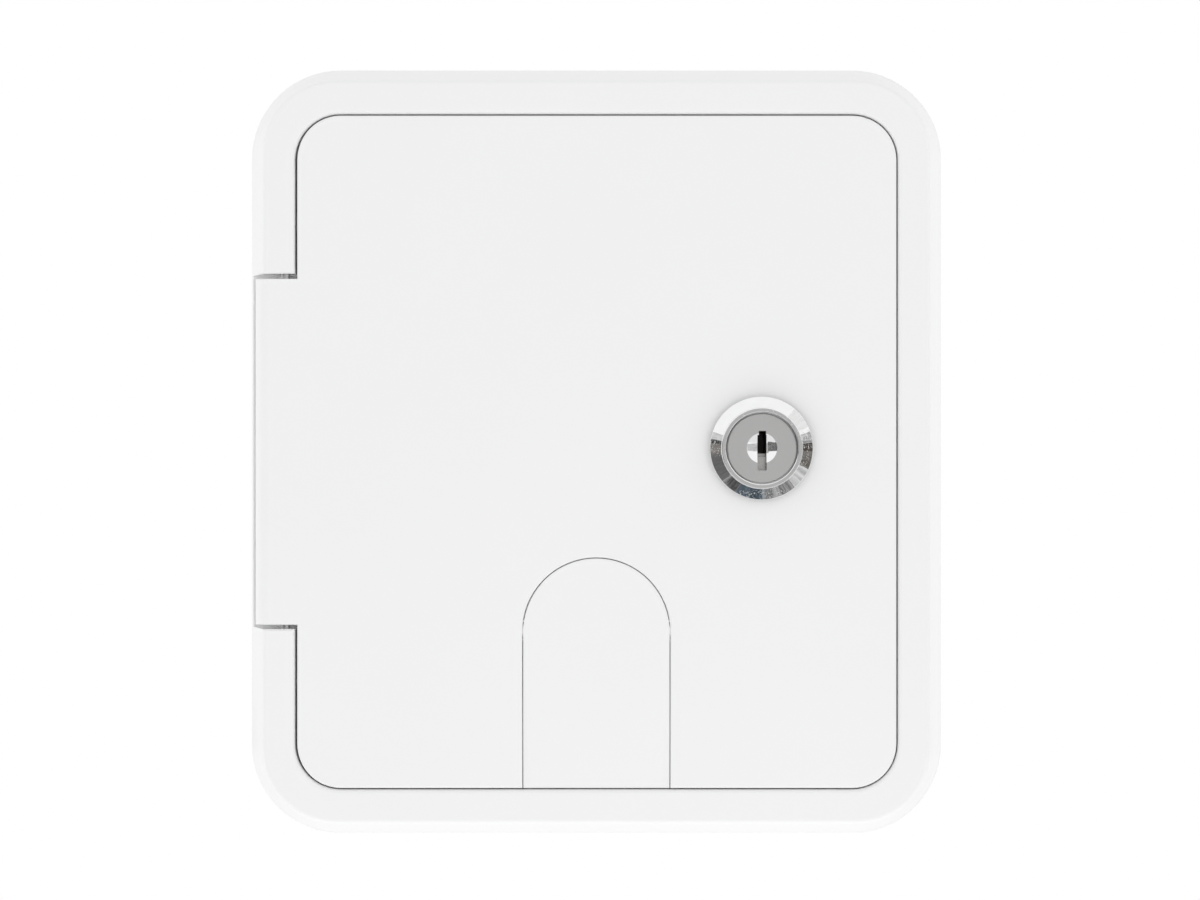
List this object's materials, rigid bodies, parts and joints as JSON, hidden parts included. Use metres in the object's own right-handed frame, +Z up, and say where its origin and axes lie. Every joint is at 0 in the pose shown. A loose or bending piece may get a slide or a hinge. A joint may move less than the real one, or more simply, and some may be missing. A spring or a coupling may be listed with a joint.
{
  "type": "service hatch",
  "caption": "White moulded plastic wall hatch for a caravan: framed door on a wrap-round hinge tab, arched cable flap in its lower edge and a chromed cam lock.",
  "frame": {"origin": "centre of the wall screws and of the door, on the plane of the wall's outer skin", "axes": "+X to the viewer's right, +Y into the wall, +Z up; the door faces -Y"},
  "size_m": [0.155, 0.044, 0.1714],
  "materials": {
    "white_plastic": "satin",
    "black_rubber": "matte",
    "chrome": "polished",
    "satin_nickel": "satin",
    "plated_steel": "zinc plated",
    "nickel_silver": "satin"
  },
  "bodies": {
    "frame": {"outer_frame": "white_plastic", "door_seal": "black_rubber", "hinge_pin_upper": "plated_steel", "hinge_pin_lower": "plated_steel"},
    "door": {"door_panel": "white_plastic", "lock_housing": "chrome", "lock_gasket": "black_rubber", "lock_tooth_washer": "plated_steel", "lock_nut": "plated_steel"},
    "cable_flap": {"cable_flap": "white_plastic"},
    "lock_cylinder": {"lock_plug": "satin_nickel", "wafer_tumblers": "nickel_silver", "plug_clip": "plated_steel", "cam_stop_washer": "plated_steel", "lock_cam": "plated_steel", "cam_spring_washer": "plated_steel", "cam_screw": "plated_steel"}
  },
  "joints": [
    {"name": "door_hinge", "type": "hinge", "parent": "frame", "child": "door", "pos_m": [-0.0689, -0.0117, 0], "axis": [0, 0, -1], "range_deg": [0, 95]},
    {"name": "flap_pivot", "type": "hinge", "parent": "door", "child": "cable_flap", "pos_m": [0, -0.0119, -0.0396], "axis": [-1, 0, 0], "range_deg": [0, 70]},
    {"name": "lock_turn", "type": "hinge", "parent": "door", "child": "lock_cylinder", "pos_m": [0.0364, 0, 0.0008], "axis": [0, -1, 0], "range_deg": [0, 90]}
  ]
}
